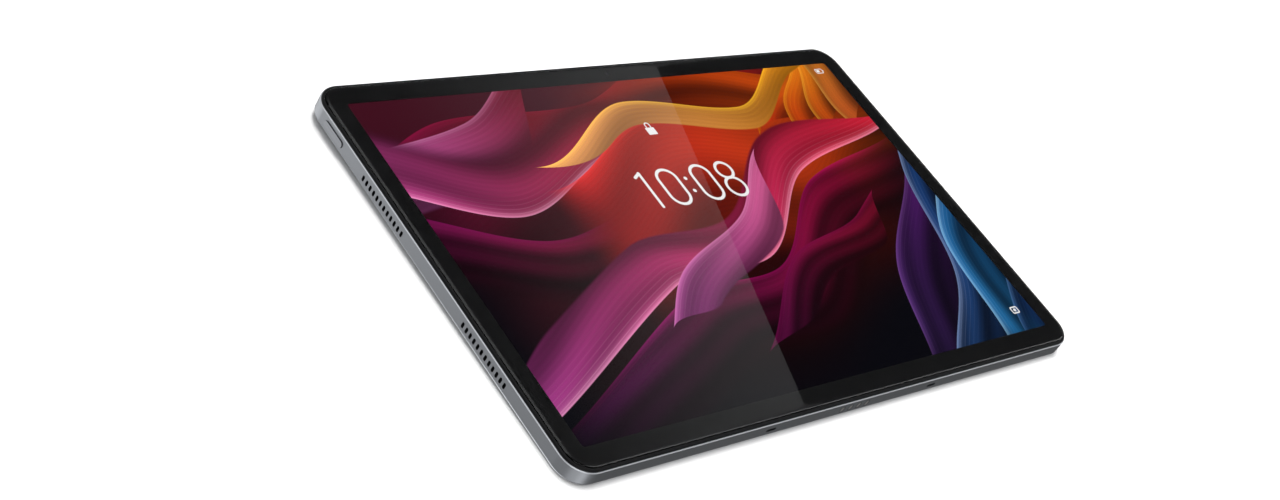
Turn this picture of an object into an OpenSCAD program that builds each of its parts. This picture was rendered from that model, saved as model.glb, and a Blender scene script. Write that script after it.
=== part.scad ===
// Slim tablet computer, lying on its back with the screen up.
// +Z points out of the screen, +X along the long side, +Y to the front camera's edge.
// The origin is under the middle of the body, level with the rear camera's trim ring.

/* [Body] */
// Overall width along the long side
body_w = 269.1; // [240:0.1:300]
// Overall height along the short side
body_h = 169.4; // [150:0.1:190]
// Thickness from the back face to the top of the cover glass
body_t = 7.4; // [7.2:0.1:9]
// Outside corner radius seen from the front
corner_r = 10; // [9:0.5:14]
// Thickness of the metal side walls
wall_t = 1.6; // [1.4:0.1:2]
// Thickness of the metal floor
floor_t = 1; // [0.8:0.1:1.2]
// Width and height of the chamfer round the back edge
back_cut = [0.55, 0.9];
// Width and height of the chamfer round the front edge
front_cut = [0.3, 0.3];
// Height of the metal rim below the top of the glass
rim_drop = 1.2; // [1:0.1:1.5]

/* [Display] */
// Width of the lit area
active_w = 250.5; // [220:0.1:270]
// Height of the lit area
active_h = 150.3; // [130:0.1:165]
// Corner radius of the lit area
active_r = 1.2; // [0.5:0.1:4]
// Thickness of the cover glass
glass_t = 0.7; // [0.6:0.05:1]
// Distance of the glass edge from the outside of the body
glass_in = 1.5; // [1.4:0.05:2]
// Width of the rounded edge of the glass
curve_w = 1.35; // [0.8:0.05:1.8]
// Height of the rounded edge of the glass
curve_h = 0.45; // [0.3:0.05:0.5]

/* [Rear camera] */
// Centre of the camera plate
plate_at = [-103.6, 60];
// Width and height of the camera plate
plate_size = [49, 34];
// Corner radius of the camera plate
plate_r = 6; // [3:0.5:8]
// Height of the plate above the back face
plate_up = 1.1; // [0.8:0.1:1.5]
// Height of the trim ring above the plate
trim_up = 0.7; // [0.4:0.1:1]
// Distance of the lens and of the flash ring from the middle of the plate
eye_x = 10.65; // [9:0.05:12]
// Outside radius of the lens trim ring
trim_r = 8.7; // [7:0.1:9]
// Outside radius of the flash ring
flash_ring_r = 7.6; // [6:0.1:9]

/* [Sound] */
// Number of holes in each grille
grille_n = 12; // [8:1:14]
// Distance between the holes of a grille
grille_pitch = 2.3; // [2:0.05:2.6]
// Width and height of each oval hole
grille_hole = [1.2, 2.3];
// Distance of each grille from the middle of its wall
grille_y = 32.4; // [28:0.1:40]
// Radius of the headphone socket
jack_r = 1.8; // [1.78:0.01:1.85]
// Depth of the headphone socket from its mouth
jack_depth = 14; // [13:0.5:15]

/* [Ports and keys] */
// Height of the ports above the back face
port_z = 3.1; // [2.9:0.05:3.3]
// Distance between the accessory contacts
contact_pitch = 4.5; // [4:0.1:5]
// Distance of the locating slots from the middle of their wall
slot_x = 44; // [40:0.5:50]
// Length and height of each locating slot
slot_size = [4.8, 1.3];
// Middle of the power button along its wall
power_y = 65.7; // [60:0.1:67]
// Length and height of the power button
power_size = [11.8, 2.6];
// How far the keys stand out of the wall
key_out = 0.35; // [0.2:0.05:0.6]
// Middle of the volume rocker along its wall
rocker_x = -92; // [-96:1:-85]
// Length and height of the volume rocker
rocker_size = [20, 2.4];
// Middle of the card tray along its wall
tray_x = 88; // [80:1:95]
// Width and height of the card tray's face
tray_size = [13, 2];

/* [Hidden] */
$fn = 48;
eps = 0.02;
gap = 0.1;

// Heights above the back face
bump = plate_up + trim_up;
rim_z = body_t - rim_drop;
glass_z = body_t - glass_t;
mask_z = glass_z - 0.12;
glue_z = mask_z - 0.13;
cell_z = glue_z - 0.6;
light_z = cell_z - 0.65;
sheet_z = light_z - 0.1;
board_z = floor_t + 0.3;
board_t = 0.8;
board_top = board_z + board_t;

// Distances from the middle of the body
half_w = body_w / 2;
half_h = body_h / 2;
in_w = half_w - wall_t;
in_h = half_h - wall_t;

// Textured band on the back
band_size = [263, 46.4];
band_at = [0, 59.1];
band_r = 7;
band_t = 0.5;

// Rear camera
lens_at = [plate_at[0] - eye_x, plate_at[1]];
flash_at = [plate_at[0] + eye_x, plate_at[1]];
window_r = 6.4;
barrel_r = 3.2;
flash_size = [2.6, 4.6];

// Front camera
eye_at = [0, (half_h + active_h / 2) / 2];

// Inner frame opening and display stack
stack_w = active_w + 3.1;
stack_h = active_h + 4.1;
open_w = stack_w + 0.8;
open_h = stack_h + 0.8;

// Keys: travel, flange thickness and room between the flange and the wall
key_travel = 0.25;
key_lip = 0.5;
key_room = 0.05;
rocker_room = 0.2;
power_back = -half_w + wall_t + key_room + key_lip + key_travel + 0.03;
rocker_pivot = half_h - wall_t - rocker_room - key_lip;
rocker_back = rocker_pivot - key_travel - 0.05;
rib_r = key_travel + 0.03;

// Card tray
tray_len = 17;
card_size = [11, 15, 0.75];
card_z = port_z - 0.3;

// Headphone socket, measured outwards from the middle of the corner's arc
jack_c = [half_w - corner_r, half_h - corner_r];
jack_z = port_z - 0.15;
jack_mouth = corner_r - 0.25;
jack_front = corner_r - wall_t - 0.7;
jack_box = [6.4, 13, 4.2];
spring_y = [-1.5, 2.5];

// Screws
screw_r = 0.7;
board_screws = [[-84, 38], [-30, 38], [28, 38], [104, 38], [-84, 76], [-30, 76], [60, 76]];
sub_screws = [[107, -11], [107, 11]];

// Rounded rectangle
module rrect(w, h, r) {
    square([w - 2 * r, h], center = true);
    square([w, h - 2 * r], center = true);
    for (sx = [-1, 1])
        for (sy = [-1, 1])
            translate([sx * (w / 2 - r), sy * (h / 2 - r)])
                circle(r);
}

// Rounded plate from height z0 to z1
module plate(w, h, r, z0, z1) {
    translate([0, 0, z0])
        linear_extrude(z1 - z0)
            rrect(w, h, r);
}

// Rounded plate whose edge runs from inset a at z0 to inset b at z1
module bevel(w, h, r, z0, z1, a, b) {
    for (sx = [-1, 1])
        for (sy = [-1, 1])
            translate([sx * (w / 2 - r), sy * (h / 2 - r), z0])
                cylinder(h = z1 - z0, r1 = r - a, r2 = r - b);
    rotate([90, 0, 0])
        linear_extrude(h - 2 * r, center = true)
            polygon([[-w / 2 + a, z0], [w / 2 - a, z0], [w / 2 - b, z1], [-w / 2 + b, z1]]);
    rotate([90, 0, 90])
        linear_extrude(w - 2 * r, center = true)
            polygon([[-h / 2 + a, z0], [h / 2 - a, z0], [h / 2 - b, z1], [-h / 2 + b, z1]]);
}

// Upright slab with round ends, its middle at the origin and its depth along +Y
module oval(len, ht, depth) {
    rotate([-90, 0, 0])
        linear_extrude(depth)
            if (len > ht) {
                square([len - ht, ht], center = true);
                for (s = [-1, 1])
                    translate([s * (len - ht) / 2, 0])
                        circle(d = ht);
            } else {
                square([len, ht - len], center = true);
                for (s = [-1, 1])
                    translate([0, s * (ht - len) / 2])
                        circle(d = len);
            }
}

// Box with its middle at x and y and its underside at z0
module block(x, y, z0, sx, sy, sz) {
    translate([x - sx / 2, y - sy / 2, z0])
        cube([sx, sy, sz]);
}

// Row of holes of one grille, along +Y from the origin and pointing to +X
module grille() {
    for (i = [0:grille_n - 1])
        translate([0, (i - (grille_n - 1) / 2) * grille_pitch, 0])
            rotate([0, 0, -90])
                oval(grille_hole[0], grille_hole[1], wall_t + 1);
}

// Everything that is built upwards from the back face
module on_back() {
    translate([0, 0, bump])
        children();
}

// Headphone socket frame: its axis leaves the corner along +Y
module at_jack() {
    translate([jack_c[0], jack_c[1], jack_z])
        rotate([0, 0, -45])
            children();
}

module rear_cover() {
    color([0.55, 0.56, 0.58])
        on_back()
            difference() {
                union() {
                    difference() {
                        union() {
                            bevel(body_w, body_h, corner_r, 0, back_cut[1], back_cut[0], 0);
                            plate(body_w, body_h, corner_r, back_cut[1], rim_z - front_cut[1]);
                            bevel(body_w, body_h, corner_r, rim_z - front_cut[1], rim_z,
                                0, front_cut[0]);
                        }
                        plate(2 * in_w, 2 * in_h, corner_r - wall_t, floor_t, rim_z + 1);
                    }
                    for (p = concat(board_screws, sub_screws))
                        translate([p[0], p[1], floor_t - eps])
                            cylinder(h = board_z - floor_t + eps, r = 1.8);
                }
                translate([band_at[0], band_at[1], 0])
                    plate(band_size[0], band_size[1], band_r, -1, band_t);
                for (p = concat(board_screws, sub_screws))
                    translate([p[0], p[1], band_t + 0.15])
                        cylinder(h = 2, r = screw_r);
                translate([lens_at[0], lens_at[1], -1])
                    cylinder(h = 4, r = barrel_r + 0.9);
                translate([flash_at[0], flash_at[1], 0])
                    block(0, 0, -1, 4, 6, 4);
                for (s = [-1, 1])
                    translate([half_w - wall_t - 0.5, s * grille_y, port_z])
                        grille();
                for (s = [-1, 1])
                    translate([-half_w - 0.5, s * grille_y, port_z])
                        grille();
                translate([in_w - 0.5, 0, port_z])
                    rotate([0, 0, -90])
                        oval(9.1, 3.4, wall_t + 1);
                at_jack() {
                    translate([0, jack_front, 0])
                        rotate([-90, 0, 0])
                            cylinder(h = wall_t + 2, r = jack_r + 0.23);
                    block(0, jack_front - jack_box[1] / 2, -jack_box[2] / 2 - 0.05,
                        jack_box[0] + 0.3, jack_box[1] + 0.3, jack_box[2]);
                }
                translate([-half_w - 0.5, power_y, port_z])
                    rotate([0, 0, -90])
                        oval(power_size[0] + 2 * gap, power_size[1] + 2 * gap, wall_t + 1);
                translate([rocker_x, in_h - 0.5, port_z])
                    oval(rocker_size[0] + 3 * gap, rocker_size[1] + 2 * gap, wall_t + 1);
                translate([tray_x, in_h - 0.5, port_z])
                    oval(tray_size[0] + 2 * gap, tray_size[1] + 2 * gap, wall_t + 1);
                for (x = [-40, 40])
                    translate([x, in_h - 0.5, port_z])
                        rotate([-90, 0, 0])
                            cylinder(h = wall_t + 1, r = 0.5);
                for (i = [-1.5:1:1.5])
                    translate([i * contact_pitch, -half_h - 0.5, port_z])
                        oval(2.4, 3.2, wall_t + 1);
                for (s = [-1, 1])
                    translate([s * slot_x, -half_h - 0.5, port_z])
                        oval(slot_size[0], slot_size[1], wall_t + 1);
            }
}

module antenna_panel() {
    color([0.5, 0.51, 0.53])
        on_back()
            difference() {
                translate([band_at[0], band_at[1], 0])
                    plate(band_size[0] - 2 * gap, band_size[1] - 2 * gap, band_r - gap,
                        0, band_t);
                translate([plate_at[0], plate_at[1], 0])
                    plate(plate_size[0] + 2 * gap, plate_size[1] + 2 * gap, plate_r + gap,
                        -1, 0.4);
                translate([lens_at[0], lens_at[1], -1])
                    cylinder(h = 4, r = barrel_r + 0.9);
                translate([flash_at[0], flash_at[1], 0])
                    block(0, 0, -1, 4, 6, 4);
            }
}

module camera_plate() {
    color([0.35, 0.36, 0.38])
        on_back()
            difference() {
                translate([plate_at[0], plate_at[1], 0])
                    union() {
                        bevel(plate_size[0], plate_size[1], plate_r,
                            -plate_up, -plate_up + 0.4, 0.5, 0.1);
                        bevel(plate_size[0], plate_size[1], plate_r,
                            -plate_up + 0.4, -plate_up + 0.7, 0.1, 0);
                        plate(plate_size[0], plate_size[1], plate_r, -plate_up + 0.7, 0.4);
                    }
                translate([lens_at[0], lens_at[1], -2])
                    cylinder(h = 4, r = window_r + 0.3);
                translate([lens_at[0], lens_at[1], -2])
                    cylinder(h = 1.5, r = trim_r + 0.05);
                translate([flash_at[0], flash_at[1], 0]) {
                    plate(flash_size[0] + 0.1, flash_size[1] + 0.1, 1.2, -2, 2);
                    translate([0, 0, -2])
                        difference() {
                            cylinder(h = 2 - plate_up + 0.3, r = flash_ring_r + 0.03);
                            translate([0, 0, -1])
                                cylinder(h = 4, r = flash_ring_r - 0.63);
                        }
                }
            }
}

module camera_trim() {
    color([0.12, 0.12, 0.13])
        on_back()
            translate([lens_at[0], lens_at[1], 0])
                difference() {
                    union() {
                        translate([0, 0, -bump])
                            cylinder(h = 0.3, r1 = trim_r - 0.75, r2 = trim_r - 0.45);
                        translate([0, 0, -bump + 0.3])
                            cylinder(h = 0.5, r = trim_r - 0.45);
                        translate([0, 0, -bump + 0.8])
                            cylinder(h = bump - 1.3, r = trim_r);
                    }
                    translate([0, 0, -bump - 1])
                        cylinder(h = 3, r = window_r + 0.03);
                    translate([0, 0, -bump - 0.01])
                        cylinder(h = 0.3, r1 = window_r + 0.5, r2 = window_r + 0.03);
                }
}

module camera_window() {
    color([0.03, 0.03, 0.04, 0.6])
        on_back()
            translate([lens_at[0], lens_at[1], -bump + 0.35])
                cylinder(h = 0.6, r = window_r);
}

module flash_ring() {
    color([0.8, 0.8, 0.82])
        on_back()
            translate([flash_at[0], flash_at[1], -plate_up - 0.12])
                difference() {
                    cylinder(h = 0.4, r = flash_ring_r);
                    translate([0, 0, -1])
                        cylinder(h = 3, r = flash_ring_r - 0.6);
                }
}

module flash_lens() {
    color([0.95, 0.94, 0.88])
        on_back()
            translate([flash_at[0], flash_at[1], 0])
                plate(flash_size[0], flash_size[1], 1.15, -plate_up, -0.5);
}

module flash_led() {
    color([0.95, 0.85, 0.4])
        on_back() {
            block(flash_at[0], flash_at[1], -0.4, 1.8, 2.4, 0.9);
            block(flash_at[0], flash_at[1], 0.45, 3, 4.4, 0.65);
            block(flash_at[0] + 6, flash_at[1], floor_t + 0.02, 15, 3, 0.12);
        }
}

module front_frame() {
    color([0.06, 0.06, 0.07])
        on_back()
            difference() {
                union() {
                    plate(2 * in_w - gap, 2 * in_h - gap, corner_r - wall_t - gap / 2,
                        sheet_z + 0.05, rim_z);
                    plate(body_w - 0.7, body_h - 0.7, corner_r - 0.35, rim_z, mask_z);
                    bevel(body_w - 0.7, body_h - 0.7, corner_r - 0.35,
                        mask_z, mask_z + 0.35, 0, 0.3);
                }
                plate(body_w - 2 * glass_in + 0.1, body_h - 2 * glass_in + 0.1,
                    corner_r - glass_in + 0.05, mask_z, body_t);
                plate(open_w, open_h, 1.5, 0, body_t);
                block(eye_at[0], eye_at[1] - 0.3, 0, 6.4, 5.2, body_t);
            }
}

module cover_glass() {
    w = body_w - 2 * glass_in;
    h = body_h - 2 * glass_in;
    r = corner_r - glass_in;
    color([0.1, 0.1, 0.12, 0.4])
        on_back() {
            plate(w, h, r, glass_z, body_t - curve_h);
            bevel(w, h, r, body_t - curve_h, body_t - curve_h * 0.45, 0, curve_w * 0.2);
            bevel(w, h, r, body_t - curve_h * 0.45, body_t - curve_h * 0.13,
                curve_w * 0.2, curve_w * 0.52);
            bevel(w, h, r, body_t - curve_h * 0.13, body_t, curve_w * 0.52, curve_w);
        }
}

module border_mask() {
    color([0.02, 0.02, 0.02])
        on_back()
            difference() {
                plate(body_w - 2 * glass_in - 0.2, body_h - 2 * glass_in - 0.2,
                    corner_r - glass_in - 0.1, mask_z, glass_z);
                plate(active_w, active_h, active_r, 0, body_t);
                translate([eye_at[0], eye_at[1], 0])
                    cylinder(h = body_t, r = 1.3);
            }
}

module display_adhesive() {
    color([0.8, 0.8, 0.75, 0.4])
        on_back() {
            plate(stack_w, stack_h, 1.2, glue_z, mask_z);
            plate(active_w - 0.1, active_h - 0.1, active_r - 0.05, mask_z - eps, glass_z);
        }
}

module lcd_cell() {
    color([0.08, 0.08, 0.1])
        on_back() {
            plate(stack_w, stack_h - 2, 1, cell_z + 0.3, glue_z);
            plate(stack_w, stack_h, 1, cell_z, cell_z + 0.3);
            block(0, -stack_h / 2 + 0.5, cell_z + 0.29, 60, 0.8, 0.2);
        }
}

module backlight_unit() {
    color([0.75, 0.76, 0.78])
        on_back()
            difference() {
                plate(stack_w, stack_h, 1, light_z, cell_z);
                plate(stack_w - 1.2, stack_h - 1.2, 0.6, cell_z - 0.1, cell_z + 1);
            }
}

module graphite_sheet() {
    color([0.15, 0.15, 0.16])
        on_back()
            translate([0, -20, 0])
                plate(228, 104, 3, sheet_z, light_z);
}

module display_flex() {
    color([0.75, 0.45, 0.15])
        on_back() {
            block(-6, 61, sheet_z - 0.1, 34, 30, 0.12);
            block(-6, 74, sheet_z, 34, 4, light_z - sheet_z);
            block(-6, 48, board_top, 26, 3.4, sheet_z - board_top - 0.08);
        }
}

module front_camera() {
    color([0.1, 0.1, 0.12])
        on_back()
            translate([eye_at[0], eye_at[1], 0]) {
                block(0, -0.2, board_top + 0.3, 5.8, 4.8, mask_z - board_top - 0.9);
                translate([0, 0, mask_z - 0.61])
                    cylinder(h = 0.5, r = 1.9);
                block(0, -4.6, board_top + 0.02, 4.4, 9, 0.12);
                block(0, -1.6, board_top + 0.02, 4.4, 2, 0.3);
            }
}

module battery(x) {
    on_back()
        translate([x, -26, 0]) {
            plate(99, 102, 2.5, floor_t + 0.1, floor_t + 3.3);
            block(0, 52.2, floor_t + 0.4, 96, 2.4, 1.6);
        }
}

module battery_left() {
    color([0.18, 0.18, 0.2])
        battery(-50.2);
}

module battery_right() {
    color([0.18, 0.18, 0.2])
        battery(50.2);
}

module battery_board() {
    color([0.1, 0.3, 0.18])
        on_back() {
            block(0, 30.2, board_z, 120, 3.8, 0.6);
            for (x = [-48, -36, 30, 44])
                block(x, 30.2, board_z + 0.6, 5, 2.6, 0.8);
        }
}

module battery_flex() {
    color([0.75, 0.45, 0.15])
        on_back() {
            block(0, 30.2, board_z + 0.6, 12, 3, 1.2);
            block(0, 36.2, board_z + 1.8, 10, 15, 0.12);
            block(0, 42.2, board_top, 12, 3, board_z + 1.8 - board_top);
        }
}

module main_board() {
    color([0.05, 0.25, 0.2])
        on_back()
            difference() {
                union() {
                    block(12, 57, board_z, 200, 46, board_t);
                    block(0, 80.2, board_z, 100, 1, board_t);
                }
                for (p = board_screws)
                    translate([p[0], p[1], 0])
                        cylinder(h = 5, r = screw_r + 0.2);
                block(115, 76, 0, 24, 16, 5);
                block(-85, 58, 0, 12, 14, 5);
            }
}

// Chip or shield at the middle p of size c, standing on the main board
module chip(p, c) {
    color([0.07, 0.07, 0.08])
        on_back()
            block(p[0], p[1], board_top, c[0], c[1], c[2]);
}

module shield(p, c) {
    color([0.72, 0.73, 0.75])
        on_back()
            difference() {
                block(p[0], p[1], board_top, c[0], c[1], 1.6);
                block(p[0], p[1], board_top - 1, c[0] - 0.4, c[1] - 0.4, 2.4);
            }
}

module processor() {
    chip([38, 60], [14, 14, 0.9]);
}

module memory_chip() {
    chip([24, 62], [9, 12, 0.8]);
}

module storage_chip() {
    chip([52, 62], [10, 13, 0.9]);
}

module power_chip() {
    chip([-58, 60], [12, 12, 0.8]);
}

module radio_chip() {
    chip([84, 51], [7, 7, 0.8]);
}

module processor_shield() {
    shield([38, 60], [40, 26]);
}

module power_shield() {
    shield([-58, 60], [34, 24]);
}

module radio_shield() {
    shield([84, 51], [26, 12]);
}

module camera_module() {
    color([0.13, 0.13, 0.14])
        on_back()
            translate([lens_at[0], lens_at[1], 0]) {
                difference() {
                    block(0, 0, floor_t + 0.05, 9.6, 9.6, 3.4);
                    translate([0, 0, floor_t - 1])
                        cylinder(h = 3.2, r = barrel_r + 0.05);
                }
                block(9.6, 0, floor_t + 0.5, 10, 5, 0.12);
            }
}

module camera_barrel() {
    color([0.05, 0.05, 0.06])
        on_back()
            translate([lens_at[0], lens_at[1], 0])
                difference() {
                    translate([0, 0, -0.4])
                        cylinder(h = floor_t + 2.2, r = barrel_r);
                    translate([0, 0, -0.41])
                        cylinder(h = 0.7, r1 = 2.2, r2 = 1.2);
                }
}

module sub_board() {
    color([0.05, 0.25, 0.2])
        on_back()
            difference() {
                union() {
                    block(114.6, 0, board_z, 24, 28, board_t);
                    for (s = [-1, 1])
                        block(129.2, s * 9.2, board_z, 6, 7, board_t);
                    for (s = [-1, 1])
                        block(126.5, s * 9.2, board_z, 2, 7, board_t);
                }
                for (p = sub_screws)
                    translate([p[0], p[1], 0])
                        cylinder(h = 5, r = screw_r + 0.2);
            }
}

module sub_flex() {
    color([0.75, 0.45, 0.15])
        on_back() {
            block(108, 25.5, board_top + 0.9, 7, 37, 0.12);
            block(108, 42.5, board_top, 7.6, 2.6, 0.9);
            block(108, 8.3, board_top, 7.6, 2.6, 0.9);
        }
}

module usb_shell() {
    color([0.7, 0.71, 0.73])
        on_back()
            translate([in_w - 5.9, 0, port_z])
                rotate([0, 0, -90])
                    difference() {
                        oval(8.94, 3.26, 7.3);
                        translate([0, 0.4, 0])
                            oval(8.34, 2.66, 8);
                    }
}

module usb_tongue() {
    color([0.08, 0.08, 0.09])
        on_back() {
            block(in_w - 3.05, 0, port_z - 0.35, 4.9, 6.69, 0.7);
            for (z = [port_z - 0.38, port_z + 0.33])
                for (i = [-2.5:1:2.5])
                    block(in_w - 2.6, i, z, 3.6, 0.3, 0.05);
        }
}

module headphone_jack() {
    color([0.05, 0.05, 0.06])
        on_back()
            at_jack()
                difference() {
                    union() {
                        block(0, jack_front - jack_box[1] / 2, -jack_box[2] / 2,
                            jack_box[0], jack_box[1], jack_box[2]);
                        translate([0, jack_front - eps, 0])
                            rotate([-90, 0, 0])
                                cylinder(h = jack_mouth - jack_front + eps, r = jack_r + 0.2);
                    }
                    translate([0, jack_mouth - jack_depth, 0])
                        rotate([-90, 0, 0])
                            cylinder(h = jack_depth + 1, r = jack_r);
                    for (y = spring_y)
                        block(jack_box[0] / 2, y, -0.6, 2.4, 1.2, 1.2);
                }
}

module jack_springs() {
    color([0.8, 0.68, 0.35])
        on_back()
            at_jack()
                for (y = spring_y)
                    block(jack_box[0] / 2 - 0.6, y, -0.5, 1.1, 1, 1);
}

module contact_block() {
    color([0.05, 0.05, 0.06])
        on_back()
            difference() {
                union() {
                    block(0, -in_h + 1.55, port_z - 1.9, 20, 3, 3.8);
                    for (i = [-1.5:1:1.5])
                        translate([i * contact_pitch, -half_h, port_z])
                            oval(2.3, 3.1, wall_t + 0.5);
                }
                for (i = [-1.5:1:1.5])
                    translate([i * contact_pitch, -half_h - 1, port_z])
                        oval(1.7, 2.5, wall_t + 2);
            }
}

module contacts() {
    color([0.75, 0.74, 0.7])
        on_back()
            for (i = [-1.5:1:1.5])
                translate([i * contact_pitch, -half_h + 0.05, port_z])
                    oval(1.7, 2.5, wall_t + 0.9);
}

// Speaker box with its sound outlet towards +X
module speaker() {
    difference() {
        union() {
            block(-9.6, 0, floor_t + 0.1, 12, 30, 3.6);
            block(-3, 0, port_z - 1.6, 5.28, 28.6, 3.2);
        }
        block(-0.9, 0, port_z - 1.3, 2, 27.6, 2.6);
        translate([-9.6, 0, 0])
            plate(8, 24, 3.8, floor_t + 3.4, 8);
    }
}

module speaker_top_left() {
    color([0.1, 0.1, 0.11])
        on_back()
            translate([-in_w, grille_y, 0])
                mirror([1, 0, 0])
                    speaker();
}

module speaker_bottom_left() {
    color([0.1, 0.1, 0.11])
        on_back()
            translate([-in_w, -grille_y, 0])
                mirror([1, 0, 0])
                    speaker();
}

module speaker_top_right() {
    color([0.1, 0.1, 0.11])
        on_back()
            translate([in_w, grille_y, 0])
                speaker();
}

module speaker_bottom_right() {
    color([0.1, 0.1, 0.11])
        on_back()
            translate([in_w, -grille_y, 0])
                speaker();
}

module speaker_meshes() {
    color([0.15, 0.15, 0.16])
        on_back()
            for (sx = [-1, 1])
                for (sy = [-1, 1])
                    block(sx * (in_w - 0.2), sy * grille_y, port_z - 1.45, 0.3, 28.4, 2.9);
}

module power_button() {
    color([0.6, 0.61, 0.63])
        on_back()
            translate([-half_w - key_out, power_y, port_z])
                rotate([0, 0, -90]) {
                    oval(power_size[0], power_size[1], key_out + wall_t + key_room + eps);
                    translate([0, key_out + wall_t + key_room, 0])
                        oval(power_size[0] + 1.6, power_size[1] + 0.9, key_lip);
                }
}

module power_switch() {
    color([0.7, 0.7, 0.68])
        on_back() {
            block(power_back + 0.45, power_y, port_z - 1.2, 0.9, 5, 2.4);
            block(power_back + 1.05, power_y, floor_t, 0.3, 16, 3.9);
            block(power_back + 2, power_y, floor_t, 2.2, 16, 0.25);
        }
}

module volume_rocker() {
    color([0.6, 0.61, 0.63])
        on_back()
            translate([rocker_x, half_h + key_out, port_z])
                rotate([0, 0, 180]) {
                    oval(rocker_size[0], rocker_size[1], key_out + wall_t + rocker_room + eps);
                    translate([0, key_out + wall_t + rocker_room, 0])
                        oval(rocker_size[0] + 1.4, rocker_size[1] + 0.9, key_lip);
                    translate([0, half_h + key_out - rocker_pivot, -1.2])
                        cylinder(h = 2.4, r = rib_r);
                }
}

module volume_switches() {
    color([0.7, 0.7, 0.68])
        on_back() {
            for (s = [-1, 1])
                block(rocker_x + s * 6.5, rocker_back - 0.45, port_z - 1.2, 4, 0.9, 2.4);
            block(rocker_x, rocker_back - 0.45, port_z - 1.2, 1.2, 0.9, 2.4);
            block(rocker_x, rocker_back - 1.05, floor_t, 22, 0.3, 3.9);
        }
}

module key_flex() {
    x = power_back + 1.2;
    y = rocker_back - 1.2;
    color([0.75, 0.45, 0.15])
        on_back()
            translate([0, 0, floor_t + 0.4])
                linear_extrude(3)
                    polygon([
                        [x, power_y - 7], [x + 0.15, power_y - 7], [x + 0.15, y - 4],
                        [x + 4.1, y - 0.15], [rocker_x + 9, y - 0.15], [rocker_x + 9, y],
                        [x + 4, y], [x, y - 3.9]
                    ]);
}

module card_tray() {
    color([0.6, 0.61, 0.63])
        on_back()
            difference() {
                union() {
                    translate([tray_x, half_h - 1.2, port_z])
                        oval(tray_size[0], tray_size[1], 1.2);
                    block(tray_x, half_h - 1.2 - tray_len / 2, port_z - 0.6,
                        tray_size[0] - 0.6, tray_len, 1.2);
                }
                block(tray_x, half_h - 2 - tray_len / 2, card_z, card_size[0] + 0.3,
                    card_size[1] + 0.2, 3);
                translate([tray_x + 5.2, half_h - 1.6, port_z])
                    rotate([-90, 0, 0])
                        cylinder(h = 3, r = 0.4);
            }
}

module memory_card() {
    color([0.05, 0.05, 0.06])
        on_back()
            block(tray_x, half_h - 2 - tray_len / 2, card_z, card_size[0], card_size[1],
                card_size[2]);
}

module card_socket() {
    color([0.7, 0.71, 0.73])
        on_back()
            difference() {
                block(tray_x, in_h - 9.7, board_top, 14.4, 19, port_z + 0.9 - board_top);
                block(tray_x, in_h - 8.5, port_z - 0.7, 13, 19, 1.4);
            }
}

module microphones() {
    color([0.72, 0.66, 0.5])
        on_back()
            for (x = [-40, 40])
                difference() {
                    block(x, in_h - 1.35, board_top, 3.6, 2.6, 2);
                    translate([x, in_h - 0.8, port_z])
                        rotate([-90, 0, 0])
                            cylinder(h = 3, r = 0.5);
                }
}

module antennas() {
    color([0.75, 0.45, 0.15])
        on_back()
            for (x = [-66, 66])
                block(x, in_h - 0.3, floor_t, 26, 0.2, 3.6);
}

module antenna_cable() {
    y = 33.2;
    z = board_top + 0.4;
    color([0.1, 0.1, 0.1])
        on_back() {
            translate([-80, y, z])
                rotate([0, 90, 0])
                    cylinder(h = 176, r = 0.3);
            for (x = [-80, 96]) {
                translate([x, y, z])
                    sphere(r = 0.3);
                translate([x, y, z])
                    rotate([-90, 0, 0])
                        cylinder(h = 2.5, r = 0.3);
                translate([x, y + 3, board_top])
                    cylinder(h = 0.8, r = 1);
            }
        }
}

module screws() {
    color([0.4, 0.4, 0.42])
        on_back()
            for (p = concat(board_screws, sub_screws))
                translate([p[0], p[1], 0])
                    difference() {
                        union() {
                            translate([0, 0, band_t + 0.2])
                                cylinder(h = board_top - band_t - 0.2 + eps, r = screw_r);
                            translate([0, 0, board_top])
                                cylinder(h = 0.5, r = 1.4);
                        }
                        translate([0, 0, board_top + 0.2])
                            cylinder(h = 1, r = 0.5, $fn = 6);
                    }
}

rear_cover();
antenna_panel();
camera_plate();
camera_trim();
camera_window();
flash_ring();
flash_lens();
flash_led();
front_frame();
cover_glass();
border_mask();
display_adhesive();
lcd_cell();
backlight_unit();
graphite_sheet();
display_flex();
front_camera();
battery_left();
battery_right();
battery_board();
battery_flex();
main_board();
processor();
memory_chip();
storage_chip();
power_chip();
radio_chip();
processor_shield();
power_shield();
radio_shield();
camera_module();
camera_barrel();
sub_board();
sub_flex();
usb_shell();
usb_tongue();
headphone_jack();
jack_springs();
contact_block();
contacts();
speaker_top_left();
speaker_bottom_left();
speaker_top_right();
speaker_bottom_right();
speaker_meshes();
power_button();
power_switch();
volume_rocker();
volume_switches();
key_flex();
card_tray();
memory_card();
card_socket();
microphones();
antennas();
antenna_cable();
screws();
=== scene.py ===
import math

import bpy
from mathutils import Matrix, Vector


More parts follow.
